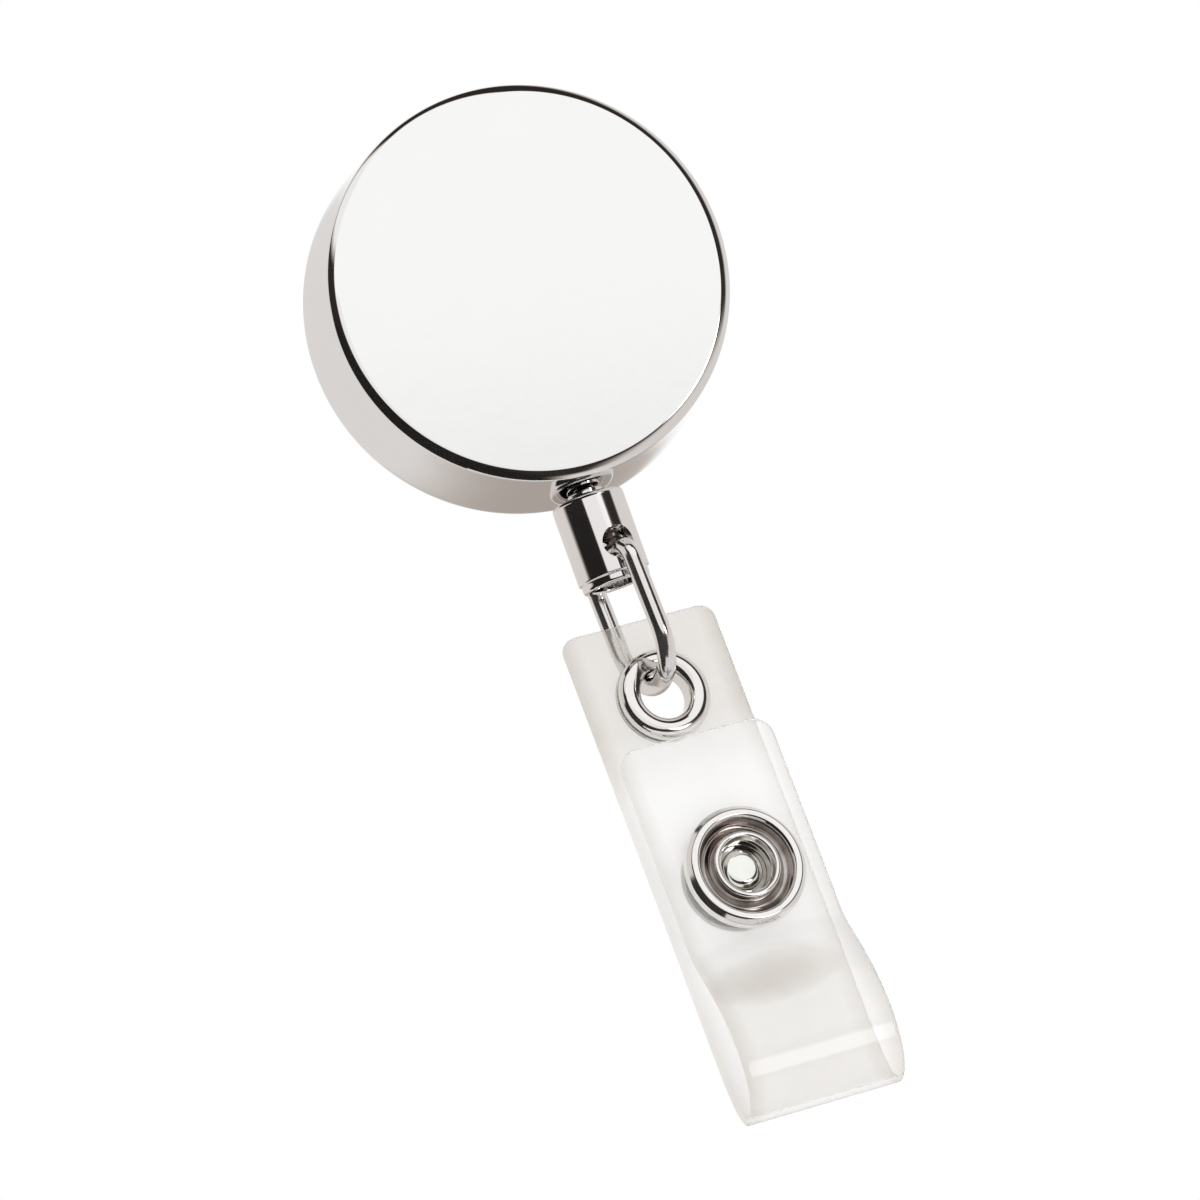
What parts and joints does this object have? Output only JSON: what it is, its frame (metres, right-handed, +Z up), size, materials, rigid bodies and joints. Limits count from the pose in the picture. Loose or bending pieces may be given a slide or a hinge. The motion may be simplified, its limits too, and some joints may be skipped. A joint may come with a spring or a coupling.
{
  "type": "retractable badge reel",
  "caption": "Round chromed badge reel with a sprung retracting cord, a swivel barrel, a wire link and a clear vinyl snap strap.",
  "frame": {"origin": "on the case's axis, in the plane of the back cover's outer face, where the belt clip seats", "axes": "+Z up with the strap hanging down, the polished face looks along -Y, +X to the face's right"},
  "size_m": [0.032, 0.0216, 0.0813],
  "materials": {
    "case_chrome": "mirror-polished chrome plate",
    "back_plate_steel": "bright plated steel",
    "post_steel": "turned steel",
    "washer_nylon": "natural nylon",
    "spool_plastic": "moulded acetal",
    "spring_cover_steel": "stamped steel",
    "spring_steel": "blued spring steel",
    "cord_nylon": "braided nylon",
    "stop_brass": "crimped brass",
    "bushing_steel": "polished plated steel",
    "clip_steel": "bright plated spring steel",
    "rivet_steel": "formed steel",
    "barrel_chrome": "turned and chrome plated",
    "link_chrome": "bright plated wire",
    "eyelet_nickel": "nickel plate",
    "strap_vinyl": "clear frosted vinyl",
    "snap_nickel": "nickel plate",
    "snap_spring_steel": "drawn spring wire"
  },
  "bodies": {
    "case": {"front_cover": "case_chrome", "back_cover": "back_plate_steel", "axle_post": "post_steel", "thrust_washer": "washer_nylon", "mainspring": "spring_steel", "exit_bushing": "bushing_steel", "belt_clip": "clip_steel", "clip_rivet": "rivet_steel"},
    "spool": {"spool": "spool_plastic", "spring_cover": "spring_cover_steel", "cord_winding": "cord_nylon"},
    "cord_end": {"cord_tail": "cord_nylon", "cord_stop": "stop_brass"},
    "barrel": {"barrel": "barrel_chrome"},
    "link": {"wire_link": "link_chrome"},
    "eyelet": {"eyelet": "eyelet_nickel", "eyelet_washer": "eyelet_nickel"},
    "strap": {"strap_panel": "strap_vinyl", "snap_stud": "snap_nickel", "stud_post": "snap_nickel"},
    "flap": {"strap_flap": "strap_vinyl", "socket_ring": "snap_nickel", "snap_socket": "snap_nickel", "snap_spring": "snap_spring_steel"}
  },
  "joints": [
    {"name": "cord_pull", "type": "slide", "parent": "case", "child": "cord_end", "axis": [0, 0, -1], "range_m": [0, 0.6], "stiffness_N_per_m": 2, "springref_m": -0.8, "deforming": ["cord_tail"]},
    {"name": "spool_spin", "type": "hinge", "parent": "case", "child": "spool", "pos_m": [0, 0, 0], "axis": [0, 1, 0], "range_deg": [0, 3660], "deforming": ["mainspring"]},
    {"name": "barrel_swivel", "type": "hinge", "parent": "cord_end", "child": "barrel", "pos_m": [0, -0.0063, -0.0171], "axis": [0, 0, 1], "continuous": true},
    {"name": "link_swing", "type": "hinge", "parent": "barrel", "child": "link", "pos_m": [0, -0.0063, -0.02087], "axis": [-0.225, 0.9744, 0], "range_deg": [-60, 60]},
    {"name": "eyelet_rock", "type": "hinge", "parent": "link", "child": "eyelet", "pos_m": [0.00023, -0.00625, -0.02755], "axis": [0.9738, 0.2248, 0.0349], "range_deg": [-70, 70]},
    {"name": "strap_swing", "type": "hinge", "parent": "eyelet", "child": "strap", "pos_m": [0.00039, -0.00621, -0.03237], "axis": [-0.1583, 0.9815, -0.108], "range_deg": [-40, 40]},
    {"name": "flap_open", "type": "hinge", "parent": "strap", "child": "flap", "pos_m": [0.0004, -0.01174, -0.06506], "axis": [0.9873, 0.1564, -0.0262], "range_deg": [0, 120]}
  ],
  "couplings": [
    {"joint": "spool_spin", "follows": "cord_pull", "rad_per_m": 106}
  ]
}
